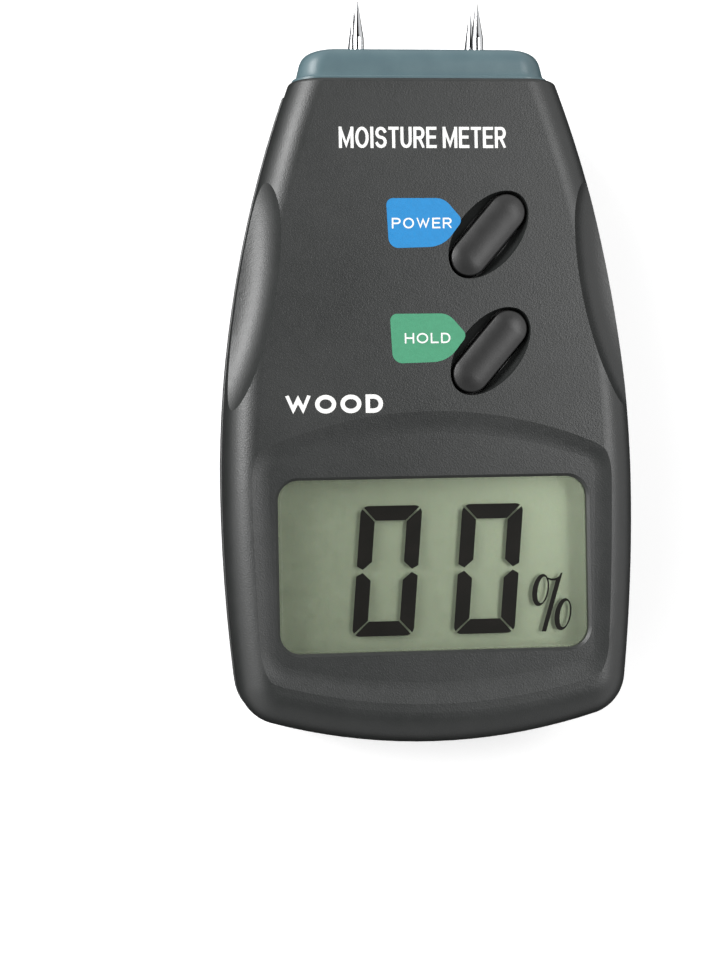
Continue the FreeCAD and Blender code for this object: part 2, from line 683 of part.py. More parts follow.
def chip(x, y, length, width, height, legs):
    """A surface-mount chip under the board, with its legs."""
    body_z = BOARD_Z - 0.15
    body = box((x - length / 2, x + length / 2), (y - width / 2, y + width / 2), (body_z - height, body_z))
    body = body.makeChamfer(0.2, [e for e in body.Edges if abs(e.BoundBox.ZMax - body_z + height) < 1e-4])
    pieces = [body]
    pitch = length / legs
    for index in range(legs):
        leg_x = x - length / 2 + pitch * (index + 0.5)
        for side in (-1, 1):
            leg_y = sorted((y + side * (width / 2 - 0.1), y + side * (width / 2 + 0.9)))
            pieces.append(box((leg_x - 0.18, leg_x + 0.18), leg_y, (BOARD_Z - 0.6, BOARD_Z)))
    return fuse(pieces)


def capacitor(x, y, radius, height):
    can = rod(radius, vec(x, y, BOARD_Z - height), vec(x, y, BOARD_Z))
    return can.makeFillet(0.4, [e for e in can.Edges if abs(e.BoundBox.ZMax - BOARD_Z + height) < 1e-4])


def trimmer(x, y):
    body = box((x - 3.2, x + 3.2), (y - 3.2, y + 3.2), (BOARD_Z - 4.5, BOARD_Z))
    screw_z = BOARD_Z - 4.5
    body = body.fuse(rod(1.6, vec(x, y, screw_z - 0.4), vec(x, y, screw_z + 0.2)))
    return body.cut(box((x - 1.4, x + 1.4), (y - 0.3, y + 0.3), (screw_z - 1, screw_z)))


def crystal(x, y):
    can = slab(rounded_rectangle(5.0, 1.9, 1.85, (x, y)), (BOARD_Z - 3.4, BOARD_Z))
    return can


def resistors():
    found = []
    for row in range(3):
        for column in range(4):
            x, y = -15.0 + 3.6 * column, -20.0 + 3.0 * row
            found.append(box((x - 0.8, x + 0.8), (y - 0.5, y + 0.5), (BOARD_Z - 0.5, BOARD_Z)))
    return found


# Fasteners


def case_screws():
    screws = []
    for x, y in CASE_SCREWS:
        head = rod(CASE_HEAD_R, vec(x, y, CASE_SEAT_Z - 2.0), vec(x, y, CASE_SEAT_Z))
        low = [e for e in head.Edges if abs(e.BoundBox.ZMax - CASE_SEAT_Z + 2.0) < 1e-4]
        head = head.makeFillet(0.6, low)
        shank = rod(CASE_SCREW_R, vec(x, y, CASE_SEAT_Z - 0.1), vec(x, y, 20.5))
        screw = head.fuse(shank)
        cut_z = (CASE_SEAT_Z - 2.1, CASE_SEAT_Z - 0.9)
        screw = screw.cut(box((x - 1.5, x + 1.5), (y - 0.35, y + 0.35), cut_z))
        screws.append(screw.cut(box((x - 0.35, x + 0.35), (y - 1.5, y + 1.5), cut_z)).removeSplitter())
    return screws


def board_screws():
    screws = []
    for x, y in BOARD_SCREWS:
        head = rod(1.8, vec(x, y, BOARD_Z - 1.3), vec(x, y, BOARD_Z))
        screw = head.fuse(rod(BOARD_SCREW_R, vec(x, y, BOARD_Z - 0.1), vec(x, y, 21.5)))
        slot = box((x - 1.2, x + 1.2), (y - 0.25, y + 0.25), (BOARD_Z - 1.4, BOARD_Z - 0.7))
        screws.append(screw.cut(slot).removeSplitter())
    return screws


# Battery and leads


def battery():
    body = box(BATTERY_X, BATTERY_Y, BATTERY_Z)
    return body.makeFillet(2.0, [e for e in body.Edges if e.BoundBox.XLength > 40])


def terminals():
    """The battery's round stud and its wider crown, on the right-hand end."""
    mid_y, mid_z = sum(BATTERY_Y) / 2, sum(BATTERY_Z) / 2
    x = BATTERY_X[1]
    stud = rod(2.8, vec(x, mid_y - 6.35, mid_z), vec(x + 2.5, mid_y - 6.35, mid_z))
    crown = rod(3.9, vec(x, mid_y + 6.35, mid_z), vec(x + 2.5, mid_y + 6.35, mid_z))
    return [stud, crown.cut(rod(2.9, vec(x + 0.6, mid_y + 6.35, mid_z), vec(x + 4, mid_y + 6.35, mid_z)))]


def battery_snap():
    """The moulded connector that presses on to the battery's terminals."""
    mid_y, mid_z = sum(BATTERY_Y) / 2, sum(BATTERY_Z) / 2
    x = BATTERY_X[1] + 2.6
    cap = rounded_rectangle(6.4, 12.6, 3.0)
    cap.rotate(vec(0, 0), vec(0, 1, 0), 90)
    cap.translate(vec(x, mid_y, mid_z))
    return cap.extrude(vec(3.0, 0, 0))


def lead(points, radius):
    """A wire along straight runs joined by arcs, each as large as its two runs allow."""
    edges = []
    here = points[0]
    for before, corner, after in zip(points, points[1:], points[2:]):
        a, b = corner - before, after - corner
        half_turn = a.getAngle(b) / 2
        back = 0.45 * min(a.Length, b.Length)
        bend = back / math.tan(half_turn)
        start = corner - a * (back / a.Length)
        end = corner + b * (back / b.Length)
        inward = (start - corner) * (1 / back) + (end - corner) * (1 / back)
        middle = corner + inward * ((bend / math.cos(half_turn) - bend) / inward.Length)
        edges.append(line(here, start))
        edges.append(Part.Arc(start, middle, end).toShape())
        here = end
    edges.append(line(here, points[-1]))
    path = Part.Wire(edges)
    section = Part.Wire(Part.Circle(points[0], points[1] - points[0], radius).toShape())
    return path.makePipeShell([section], True, False)


def battery_leads():
    x = BATTERY_X[1] + 2.6 + 1.5
    start_y = sum(BATTERY_Y) / 2 + 12.6
    leads = {}
    for name, shift in (("battery_lead_red", -1.0), ("battery_lead_black", 1.0)):
        z = 12.4 + shift * 0.2
        leads[name] = lead(
            [
                vec(x + shift, start_y, z),
                vec(x + shift, start_y + 4.0, z),
                vec(x + shift - 1.0, DOOR_Y + 4.5, z),
                vec(x + shift - 2.0, DOOR_Y + 8.0, z),
                vec(x + shift - 2.0, DOOR_Y + 8.0, BOARD_Z),
            ],
            0.7,
        )
    return leads


def build():
    """Every node's shape, or list of separate solids, by name."""
    nodes = {
        "front_cover": front_cover(),
        "back_cover": back_cover(),
        "battery_door": battery_door(),
        "battery_pad": box((-20.0, 12.0), (-52.0, -46.5), (WALL, BATTERY_Z[0] - 0.1)),
        "pin_block": pin_block(),
        "pin_nuts": pin_nuts(),
        "display_window": window_lens(),
        "window_adhesive": window_adhesive(),
        "display_frame": display_frame(),
        "zebra_strip": zebra_strip(),
        "main_board": main_board(),
        "keypad_mat": keypad_mat(),
        "controller_chip": chip(0.0, -8.0, 13.0, 7.5, 1.8, 14),
        "amplifier_chip": chip(-8.0, 22.0, 5.0, 4.0, 1.4, 4),
        "regulator_chip": chip(8.0, -22.0, 3.0, 1.8, 1.1, 3),
        "supply_capacitor": capacitor(16.0, -20.0, 2.5, 5.5),
        "filter_capacitor": capacitor(-2.0, 12.0, 2.0, 4.5),
        "calibration_trimmer": trimmer(-12.0, 8.0),
        "clock_crystal": crystal(6.0, 2.0),
        "board_resistors": resistors(),
        "case_screws": case_screws(),
        "board_screws": board_screws(),
        "battery": battery(),
        "battery_terminals": terminals(),
        "battery_snap": battery_snap(),
    }
    for side, x in (("left", -PIN_X), ("right", PIN_X)):
        nodes[side + "_contact_bar"] = contact_bar(x)
        for row, z in zip(("rear", "front"), PIN_Z):
            nodes[side + "_" + row + "_pin"] = pin(x, z)
    for button in BUTTONS:
        nodes[button + "_button"] = button_cap(button)
        nodes[button + "_dome"] = dome(button)
        nodes[button + "_contact_pill"] = contact_pill(button)
    nodes.update(lcd_layers())
    nodes.update(battery_leads())
    return nodes


def main():
    os.makedirs("parts", exist_ok=True)
    for name, shape in build().items():
        if isinstance(shape, list):
            shape = Part.Compound(shape)
        problem = "" if shape.isValid() else "  INVALID"
        print(f"{name:24s} solids {len(shape.Solids):2d}  volume {shape.Volume:10.2f}{problem}")
        shape.exportStep(f"parts/{name}.step")


main()
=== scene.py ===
"""The looks of a four-pin moisture meter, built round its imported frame. Metres, in the frame's own axes."""

import json
import math

import bmesh
import bpy
from mathutils import Euler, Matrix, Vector


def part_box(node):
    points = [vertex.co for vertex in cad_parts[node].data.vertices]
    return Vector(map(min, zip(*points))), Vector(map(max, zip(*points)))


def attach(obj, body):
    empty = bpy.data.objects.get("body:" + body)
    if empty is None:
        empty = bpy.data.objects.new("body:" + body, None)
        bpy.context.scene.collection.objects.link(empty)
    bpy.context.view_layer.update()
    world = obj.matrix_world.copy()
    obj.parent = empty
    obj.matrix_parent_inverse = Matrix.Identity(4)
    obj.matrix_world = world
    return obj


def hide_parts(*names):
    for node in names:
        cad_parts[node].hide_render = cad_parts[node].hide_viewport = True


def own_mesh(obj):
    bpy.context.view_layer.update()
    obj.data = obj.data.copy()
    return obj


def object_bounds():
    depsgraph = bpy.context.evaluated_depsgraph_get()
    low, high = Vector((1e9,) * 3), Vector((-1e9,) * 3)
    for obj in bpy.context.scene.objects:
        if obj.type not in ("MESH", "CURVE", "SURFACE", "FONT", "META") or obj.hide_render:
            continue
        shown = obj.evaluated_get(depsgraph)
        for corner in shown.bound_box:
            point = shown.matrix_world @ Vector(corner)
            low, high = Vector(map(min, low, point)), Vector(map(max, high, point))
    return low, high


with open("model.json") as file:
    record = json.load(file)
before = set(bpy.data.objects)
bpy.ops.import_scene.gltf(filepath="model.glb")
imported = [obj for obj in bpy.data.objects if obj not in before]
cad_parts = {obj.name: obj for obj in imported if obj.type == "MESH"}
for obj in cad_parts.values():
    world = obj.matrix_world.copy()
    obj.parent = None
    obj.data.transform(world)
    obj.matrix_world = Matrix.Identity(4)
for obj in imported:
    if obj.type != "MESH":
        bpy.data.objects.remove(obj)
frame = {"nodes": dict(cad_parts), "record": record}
CAD_BOX = [list(corner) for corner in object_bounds()]

MM = 0.001

# Levels read from the frame
FACE_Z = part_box("front_cover")[1].z
CELL_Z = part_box("lcd_rear_glass")[1].z  # where the display's two glass plates meet

# Prints on the face
PRINT_LIFT = 0.03 * MM
PRINT_SINK = 0.02 * MM
STROKE_STEP = 0.0005 * MM  # each stroke of a letter stands this much higher than the one before
TITLE_BOX = (-14.7, 13.1, 36.3, 39.8)  # left, right, bottom, top, in millimetres, as in every box here
TITLE_LINE = (0.50, 0.28)  # how thick its strokes are, and the gap between letters
NOTE_BOX = (-24.3, -8.2, -7.25, -4.2)
NOTE_LINE = (0.72, 0.70)
LABELS = {
    "power": {"box": (-7.1, 5.25, 19.8, 28.05), "word": "POWER", "word_box": (-6.2, 3.75, 23.05, 24.8)},
    "hold": {"box": (-6.8, 5.65, 0.8, 9.0), "word": "HOLD", "word_box": (-4.4, 3.2, 4.1, 5.8)},
}
LABEL_LINE = (0.26, 0.42)
LABEL_INKS = {"power": ("power_blue", (0.008, 0.212, 0.510)), "hold": ("hold_green", (0.055, 0.275, 0.150))}
WHITE = (0.82, 0.82, 0.80)
LABEL_POINT = 0.4  # how far the label's point would stand past its box if it weren't rounded
LETTER_WIDTHS = {  # in shares of the word; a letter that isn't here has a share of 1
    "I": 0.0, "M": 1.42, "W": 1.6, "O": 1.27, "E": 0.9, "L": 0.8, "T": 0.9, "S": 1.05, " ": 0.34,
}
SAME_POINT = 1e-6  # points of a path that are closer than this are one point
MITRE_LIMIT = 0.3  # at a sharp turn a mitre reaches out no further than half the stroke's thickness over this

# Display figures
DIGIT_SIZE = (10.4, 21.9)
DIGIT_STROKE = 2.5
DIGIT_GAP = 0.26
DIGIT_CORNER = 1.35
DIGIT_SLANT = math.radians(5.0)
DIGIT_ORIGINS = {"tens_digit": (-13.6, -44.55), "units_digit": (3.6, -44.55)}
DIGIT_POINT = (1.55, 0.25, 0.85)  # from mid-height to a side bar's inner corner, point and outer corner
POINT_ACROSS = 0.42 * DIGIT_STROKE  # from the bar's outer side to its point
CORNER_MIDDLE = 135  # degrees, at a digit's top left corner
CORNER_CUT = 7  # degrees that each bar's round end stops short of that
PERCENT_ORIGIN = (17.0, -44.5)
PERCENT_BOWLS = [(1.63, 7.05), (5.40, 2.85)]
BOWL_HALF = (1.42, 2.72)
BOWL_HOLE_HALF = (0.83, 2.22)
BOWL_HOLE_SHIFT = (0.30, 0.02)  # makes the left-hand stroke the broader one
BOWL_LEAN = 0.16  # to the right, for each unit up
PERCENT_BAR = [
    (1.65, 0.0), (2.45, 0.0), (5.45, 9.9), (5.15, 9.9),
    (4.85, 9.35), (4.3, 9.0), (3.55, 8.95), (2.75, 9.2), (2.65, 8.95), (3.5, 8.62), (4.25, 8.6),
]
FIGURE_THICK = 0.03 * MM

# View and light
CAMERA_PLACE = Vector((-37.94, -18.52, 292.78)) * MM
CAMERA_TURN = [math.radians(a) for a in (-0.195, -5.343, -1.069)]
CAMERA_LENS = 59.63
CAMERA_NEAR = 5 * MM
DARK_GLOW = 0.06  # the surround's strength overhead
LOW_GLOW = 0.05  # the share of it left below the horizon
STRIPE = (-0.13, 0.16, 0.34)  # a dark band along the meter: its middle, and from where to where it fades out
STRIPE_GLOW = 0.1  # the share of the surround's strength that is left in it
HORIZON = (-0.35, -0.15)  # where the surround starts to rise from its low strength, and where it is full
SIDE_GLOWS = [("X", -0.35, -0.55, 1.0), ("X", 0.30, 0.60, 0.85)]  # (axis, start, full, strength)
END_GLOWS = [("Y", 0.55, 0.85, 0.90), ("Y", -0.45, -0.80, 0.55)]  # the stripe doesn't cross these
SOFTBOXES = {  # in metres and watts; the first size runs along the meter
    "right_softbox": {
        "place": (0.32, 0.08, 0.56), "aim": (0.0, 0.0, 0.0), "size": (0.50, 0.27), "power": 1.8,
    },
    "left_softbox": {
        "place": (-0.45, 0.22, 0.33), "aim": (0.0, 0.01, 0.0), "size": (0.44, 0.30), "power": 4.0,
    },
}
FILM_LAMP = {"place": (0.17, 0.04, 0.42), "aim": (0.0, -0.03, 0.0), "size": (0.16, 0.10), "power": 0.30}
FLOOR_REACH = 3.0  # half its width
FLOOR_GAP = 0.05 * MM


# Materials


class Nodes:
    """Short calls for the nodes of one tree."""

    def __init__(self, tree):
        self.tree = tree

    def add(self, kind, **settings):
        node = self.tree.nodes.new(kind)
        for key, value in settings.items():
            setattr(node, key, value)
        return node

    def feed(self, socket, value):
        if isinstance(value, bpy.types.NodeSocket):
            self.tree.links.new(value, socket)
        else:
            socket.default_value = value

    def span(self, value, low, high, out_low=0.0, out_high=1.0, curve="LINEAR"):
        """The value's stretch from low to high, carried to out_low to out_high."""
        node = self.add("ShaderNodeMapRange", interpolation_type=curve)
        self.feed(node.inputs["Value"], value)
        for key, number in (("From Min", low), ("From Max", high), ("To Min", out_low), ("To Max", out_high)):
            node.inputs[key].default_value = number
        return node.outputs["Result"]

    def maths(self, operation, a, b):
        node = self.add("ShaderNodeMath", operation=operation)
        self.feed(node.inputs[0], a)
        self.feed(node.inputs[1], b)
        return node.outputs[0]


class Graph(Nodes):
    """A material on a Principled shader. Its textures lie in the frame's own axes."""

    def __init__(self, name, roughness=0.5, metallic=0.0):
        self.material = bpy.data.materials.new(name)
        self.material.use_nodes = True
        super().__init__(self.material.node_tree)
        self.shader = self.tree.nodes["Principled BSDF"]
        self.shader.inputs["Roughness"].default_value = roughness
        self.shader.inputs["Metallic"].default_value = metallic
        self.place = self.add("ShaderNodeTexCoord").outputs["Object"]
        self.relief = None

    def plain(self, **values):
        """Sets the shader's own sockets, such as coat_weight=0.3."""
        sockets = {socket.name.lower().replace(" ", "_"): socket for socket in self.shader.inputs}
        for key, value in values.items():
            sockets[key].default_value = value

    def stretched(self, scale):
        """The frame's coordinates, scaled apart along each axis."""
        node = self.add("ShaderNodeMapping")
        self.feed(node.inputs["Vector"], self.place)
        node.inputs["Scale"].default_value = scale
        return node.outputs["Vector"]

    def noise(self, scale, detail=2.0, vector=None):
        node = self.add("ShaderNodeTexNoise")
        self.feed(node.inputs["Vector"], vector or self.place)
        node.inputs["Scale"].default_value = scale
        node.inputs["Detail"].default_value = detail
        return node.outputs["Fac"]

    def mottle(self, scale, detail, low=0.0, high=1.0):
        """Noise with its middle stretch carried to low to high."""
        return self.span(self.noise(scale, detail), 0.3, 0.7, low, high)

    def cells(self, scale, output="Distance", **settings):
        node = self.add("ShaderNodeTexVoronoi", **settings)
        self.feed(node.inputs["Vector"], self.place)
        node.inputs["Scale"].default_value = scale
        return node.outputs[output]

    def waves(self, scale, direction, distortion=0.0, vector=None):
        node = self.add("ShaderNodeTexWave", bands_direction=direction)
        self.feed(node.inputs["Vector"], vector or self.place)
        node.inputs["Scale"].default_value = scale
        node.inputs["Distortion"].default_value = distortion
        return node.outputs["Fac"]

    def blend(self, factor, a, b):
        node = self.add("ShaderNodeMix", data_type="RGBA")
        self.feed(node.inputs["Factor"], factor)
        for socket, colour in ((node.inputs[6], a), (node.inputs[7], b)):
            self.feed(socket, colour if isinstance(colour, bpy.types.NodeSocket) else (*colour, 1.0))
        return node.outputs[2]

    def axis(self, name):
        node = self.add("ShaderNodeSeparateXYZ")
        self.feed(node.inputs[0], self.place)
        return node.outputs[name]

    def colour(self, value):
        self.feed(self.shader.inputs["Base Color"], value)

    def roughness(self, value):
        self.feed(self.shader.inputs["Roughness"], value)

    def bump(self, height, distance, strength=1.0):
        """Adds relief; each call lies on top of the one before."""
        node = self.add("ShaderNodeBump")
        self.feed(node.inputs["Height"], height)
        node.inputs["Distance"].default_value = distance
        node.inputs["Strength"].default_value = strength
        if self.relief is not None:
            self.feed(node.inputs["Normal"], self.relief)
        self.relief = node.outputs["Normal"]
        self.feed(self.shader.inputs["Normal"], self.relief)


def moulded(name, dark, light, rough, grain=0.0, grain_scale=3200.0):
    """Moulded plastic or rubber: faint mottle, uneven gloss and, where there is grain, an etched texture."""
    g = Graph(name)
    g.colour(g.blend(g.mottle(260.0, 4.0), dark, light))
    gloss = g.maths("ADD", g.noise(45.0, 2.0), g.maths("MULTIPLY", g.noise(900.0, 2.0), 0.35))
    g.roughness(g.span(gloss, 0.45, 0.9, *rough))
    g.bump(g.noise(380.0, 2.0), 0.01 * MM, 0.4)
    if grain:
        g.bump(g.cells(grain_scale, feature="SMOOTH_F1"), grain)
        g.bump(g.noise(grain_scale * 1.7, 2.0), grain * 0.6)
    return g


def case_plastic():
    """Etched black plastic, a little glossier at its surface than most."""
    dark, light = (0.011, 0.0125, 0.012), (0.015, 0.0165, 0.016)
    g = moulded("case_plastic", dark, light, (0.38, 0.46), grain=0.022 * MM, grain_scale=4300.0)
    g.plain(specular_ior_level=0.75)
    return g.material


def segment_ink():
    """The dark of a lit segment, which hardly shines."""
    g = moulded("segment_ink", (0.008, 0.007, 0.006), (0.011, 0.009, 0.008), (0.45, 0.55))
    g.plain(specular_ior_level=0.08)
    return g.material


def metal(name, dark, light, rough, scratches):
    """Drawn, turned or plated metal, with fine marks that run along the axis that is stretched least."""
    g = Graph(name, metallic=1.0)
    marks = g.noise(1.0, 4.0, g.stretched(scratches))
    g.colour(g.blend(g.span(g.noise(500.0, 3.0), 0.35, 0.65), dark, light))
    g.roughness(g.span(marks, 0.3, 0.7, *rough))
    g.bump(marks, 0.002 * MM)
    return g


def clear_window():
    """Clear moulded window: what is behind shows through, and its surface mirrors more at a slant."""
    g = Graph("clear_window")
    g.tree.nodes.remove(g.shader)
    gloss = g.add("ShaderNodeBsdfGlossy")
    gloss.inputs["Roughness"].default_value = 0.03
    through = g.add("ShaderNodeBsdfTransparent")
    through.inputs["Color"].default_value = (0.975, 0.985, 0.98, 1.0)
    slant = g.add("ShaderNodeLayerWeight")
    slant.inputs["Blend"].default_value = 0.5
    wavy = g.add("ShaderNodeBump")
    wavy.inputs["Distance"].default_value = 0.004 * MM
    g.feed(wavy.inputs["Height"], g.noise(120.0, 1.0))
    for node in (gloss, slant):
        g.feed(node.inputs["Normal"], wavy.outputs["Normal"])
    mirrored = g.span(g.maths("POWER", slant.outputs["Facing"], 5.0), 0.0, 1.0, 0.04, 1.0)
    mix = g.add("ShaderNodeMixShader")
    g.feed(mix.inputs[0], mirrored)
    g.feed(mix.inputs[1], through.outputs[0])
    g.feed(mix.inputs[2], gloss.outputs[0])
    g.feed(g.tree.nodes["Material Output"].inputs["Surface"], mix.outputs[0])
    return g.material


def faint_glass(name, colour, alpha):
    """Display glass and film: mostly see-through, with a plain tint."""
    g = Graph(name, roughness=0.08)
    g.colour(g.blend(g.mottle(300.0, 2.0), colour, tuple(0.94 * c for c in colour)))
    g.plain(alpha=alpha)
    return g


def reflector():
    """The display's backing, a silvery green film. Its glow is painted light: an even emission that lifts the
    film and fills the shade that the window's rim casts on it.
    """
    g = Graph("reflector", metallic=0.6)
    sparkle = g.cells(5200.0, output="Color", feature="F1")
    base = g.blend(g.mottle(4200.0, 3.0), (0.235, 0.272, 0.182), (0.258, 0.298, 0.200))
    g.colour(g.blend(0.03, base, sparkle))
    g.roughness(g.mottle(700.0, 2.0, 0.32, 0.38))
    g.bump(g.noise(6000.0, 2.0), 0.01 * MM, 0.5)
    # painted light: the film glows evenly, though it is no lamp, to fill the shade at its edges
    g.plain(emission_color=(0.42, 0.47, 0.335, 1.0), emission_strength=0.13)
    return g.material


def printed(name, colour):
    """Screen-printed ink that follows the plastic's texture."""
    g = Graph(name)
    shade = tuple(0.93 * c for c in colour)
    g.colour(g.blend(g.span(g.noise(1500.0, 3.0), 0.35, 0.65), shade, colour))
    g.roughness(g.mottle(800.0, 2.0, 0.45, 0.6))
    g.bump(g.cells(2600.0, feature="SMOOTH_F1"), 0.02 * MM)
    return g.material


def circuit_board():
    """Green solder mask, lighter and raised where tracks run under it."""
    g = Graph("circuit_board")
    steps = g.cells(210.0, output="Color", feature="F1", distance="CHEBYCHEV")
    tracks = g.span(g.waves(160.0, "DIAGONAL", 6.0, g.stretched((1.0, 1.0, 0.001))), 0.55, 0.62)
    mask = g.blend(tracks, (0.006, 0.070, 0.030), (0.012, 0.125, 0.050))
    g.colour(g.blend(0.03, mask, steps))
    g.roughness(g.mottle(500.0, 2.0, 0.22, 0.34))
    g.bump(tracks, 0.03 * MM)
    g.plain(coat_weight=0.3, coat_roughness=0.15)
    return g.material


def striped_rubber():
    """Conductive and plain layers in turn, across the strip's length."""
    g = Graph("striped_rubber")
    stripes = g.span(g.waves(900.0, "X"), 0.45, 0.55)
    g.colour(g.blend(stripes, (0.015, 0.015, 0.015), (0.32, 0.30, 0.27)))
    g.roughness(g.mottle(700.0, 2.0, 0.5, 0.65))
    g.bump(stripes, 0.01 * MM)
    return g.material


def foam():
    g = Graph("foam")
    pores = g.cells(1900.0, feature="F1")
    g.colour(g.blend(g.span(pores, 0.1, 0.6), (0.035, 0.035, 0.035), (0.012, 0.012, 0.012)))
    g.roughness(g.span(pores, 0.0, 0.7, 0.95, 0.8))
    g.bump(pores, 0.15 * MM)
    return g.material


def battery_jacket():
    """A plain printed steel jacket: dark body with a copper-coloured band at the terminals' end."""
    g = Graph("battery_jacket", metallic=0.55)
    low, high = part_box("battery")
    band = low.x + 0.72 * (high.x - low.x)
    edge = g.span(g.axis("X"), band, band + 0.15 * MM)
    body = g.blend(g.mottle(260.0, 3.0), (0.016, 0.017, 0.020), (0.026, 0.027, 0.031))
    g.colour(g.blend(edge, body, (0.46, 0.25, 0.10)))
    g.roughness(g.mottle(90.0, 3.0, 0.20, 0.34))
    g.bump(g.noise(150.0, 2.0), 0.02 * MM)
    g.plain(coat_weight=0.4, coat_roughness=0.12)
    return g.material


def floor_finish():
    """Pale paper sweep with a faint glow of its own."""
    g = Graph("floor_finish", roughness=0.9)
    g.colour(g.blend(g.mottle(18.0, 3.0), (0.90, 0.90, 0.90), (0.92, 0.92, 0.92)))
    g.plain(emission_color=(1.0, 1.0, 1.0, 1.0), emission_strength=0.35)
    return g.material


# Slots that take a plain moulding, a metal or a faint glass: the settings of each
MOULDINGS = {
    "block_plastic": {
        "dark": (0.078, 0.128, 0.145), "light": (0.092, 0.147, 0.163), "rough": (0.30, 0.38),
        "grain": 0.006 * MM, "grain_scale": 5200.0,
    },
    "button_plastic": {
        "dark": (0.016, 0.016, 0.016), "light": (0.022, 0.022, 0.022), "rough": (0.34, 0.42),
        "grain": 0.008 * MM, "grain_scale": 4200.0,
    },
    "frame_plastic": {
        "dark": (0.010, 0.010, 0.010), "light": (0.018, 0.018, 0.018), "rough": (0.45, 0.6),
        "grain": 0.01 * MM,
    },
    "chip_plastic": {
        "dark": (0.012, 0.012, 0.013), "light": (0.02, 0.02, 0.021), "rough": (0.4, 0.5),
        "grain": 0.01 * MM, "grain_scale": 4500.0,
    },
    "adhesive": {"dark": (0.008, 0.008, 0.008), "light": (0.012, 0.012, 0.012), "rough": (0.6, 0.75)},
    "capacitor_sleeve": {"dark": (0.010, 0.014, 0.045), "light": (0.014, 0.020, 0.06), "rough": (0.2, 0.3)},
    "trimmer_plastic": {"dark": (0.012, 0.07, 0.32), "light": (0.018, 0.09, 0.38), "rough": (0.25, 0.35)},
    "resistor_ceramic": {"dark": (0.012, 0.012, 0.013), "light": (0.03, 0.03, 0.03), "rough": (0.2, 0.3)},
    "keypad_rubber": {"dark": (0.42, 0.42, 0.40), "light": (0.50, 0.50, 0.47), "rough": (0.5, 0.62)},
    "carbon_rubber": {"dark": (0.008, 0.008, 0.008), "light": (0.014, 0.014, 0.014), "rough": (0.6, 0.7)},
    "snap_plastic": {"dark": (0.008, 0.008, 0.008), "light": (0.013, 0.013, 0.013), "rough": (0.3, 0.4)},
    "lead_red": {"dark": (0.42, 0.012, 0.010), "light": (0.50, 0.018, 0.014), "rough": (0.3, 0.4)},
    "lead_black": {"dark": (0.010, 0.010, 0.010), "light": (0.016, 0.016, 0.016), "rough": (0.3, 0.4)},
}
METALS = {
    "pin_steel": {
        "dark": (0.66, 0.67, 0.69), "light": (0.78, 0.79, 0.80), "rough": (0.06, 0.14),
        "scratches": (900.0, 14000.0, 900.0),
    },
    "brass_parts": {
        "dark": (0.60, 0.42, 0.16), "light": (0.76, 0.56, 0.24), "rough": (0.18, 0.34),
        "scratches": (7000.0, 1500.0, 1500.0),
    },
    "screw_steel": {
        "dark": (0.42, 0.42, 0.43), "light": (0.60, 0.60, 0.61), "rough": (0.22, 0.40),
        "scratches": (2500.0, 2500.0, 9000.0),
    },
    "terminal_metal": {
        "dark": (0.60, 0.60, 0.58), "light": (0.74, 0.74, 0.72), "rough": (0.16, 0.30),
        "scratches": (9000.0, 2000.0, 2000.0),
    },
    "crystal_can": {
        "dark": (0.55, 0.55, 0.54), "light": (0.68, 0.68, 0.67), "rough": (0.20, 0.34),
        "scratches": (1200.0, 8000.0, 1200.0),
    },
}
GLASSES = {
    "lcd_glass": {"colour": (0.20, 0.24, 0.20), "alpha": 0.02},
    "polarizer": {"colour": (0.05, 0.06, 0.05), "alpha": 0.05},
}

# Slots with a finish of their own
OWN_FINISHES = {
    "case_plastic": case_plastic,
    "window": clear_window,
    "reflector": reflector,
    "zebra_rubber": striped_rubber,
    "board": circuit_board,
    "foam": foam,
    "battery_jacket": battery_jacket,
}


def finish(slot):
    """The material of one of the record's slots."""
    if slot in OWN_FINISHES:
        return OWN_FINISHES[slot]()
    for maker, settings in ((moulded, MOULDINGS), (metal, METALS), (faint_glass, GLASSES)):
        if slot in settings:
            return maker(slot, **settings[slot]).material
    raise KeyError(slot)


def let_light_in(pieces):
    """Only the camera's own rays meet the display's clear layers, so light reaches the film under them."""
    for piece in pieces:
        piece.visible_shadow = False
        piece.visible_diffuse = False
        piece.visible_glossy = False


def flatten_domes():
    """Gives each keypad dome a mesh of its own."""
    for button in LABELS:
        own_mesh(frame["nodes"][button + "_dome"])


def dress_frame():
    """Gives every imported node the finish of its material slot."""
    made = {}
    for part in frame["record"]["subparts"]:
        slot = part["material_slot"]
        if slot not in made:
            made[slot] = finish(slot)
        node = frame["nodes"][part["node"]]
        node.data.materials.clear()
        node.data.materials.append(made[slot])
    return made


# Flat pieces


def add_piece(name, mesh, material):
    piece = bpy.data.objects.new(name, mesh)
    bpy.context.scene.collection.objects.link(piece)
    mesh.materials.clear()
    mesh.materials.append(material)
    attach(piece, "case")
    return piece


def plate(bm, loops, low, high):
    """Adds flat plates between two heights, one for each outline; points are in millimetres."""
    for loop in loops:
        base = [bm.verts.new((x * MM, y * MM, low)) for x, y in loop]
        top = [bm.verts.new((x * MM, y * MM, high)) for x, y in loop]
        bm.faces.new(top)
        bm.faces.new(list(reversed(base)))
        for i in range(len(loop)):
            j = (i + 1) % len(loop)
            bm.faces.new((base[i], base[j], top[j], top[i]))


def ring(bm, outer, inner, low, high):
    """Adds a flat ring between two outlines with as many points each."""
    rows = []
    for points, z in ((outer, low), (outer, high), (inner, high), (inner, low)):
        rows.append([bm.verts.new((x * MM, y * MM, z)) for x, y in points])
    for a, b in zip(rows, rows[1:] + rows[:1]):
        for i in range(len(outer)):
            j = (i + 1) % len(outer)
            bm.faces.new((a[i], a[j], b[j], b[i]))


def closed_mesh(bm, name):
    """The finished mesh, with every face turned outward."""
    bmesh.ops.recalc_face_normals(bm, faces=bm.faces)
    mesh = bpy.data.meshes.new(name)
    bm.to_mesh(mesh)
    bm.free()
    return mesh


def plate_mesh(name, loops, low, high):
    bm = bmesh.new()
    plate(bm, loops, low, high)
    return closed_mesh(bm, name)


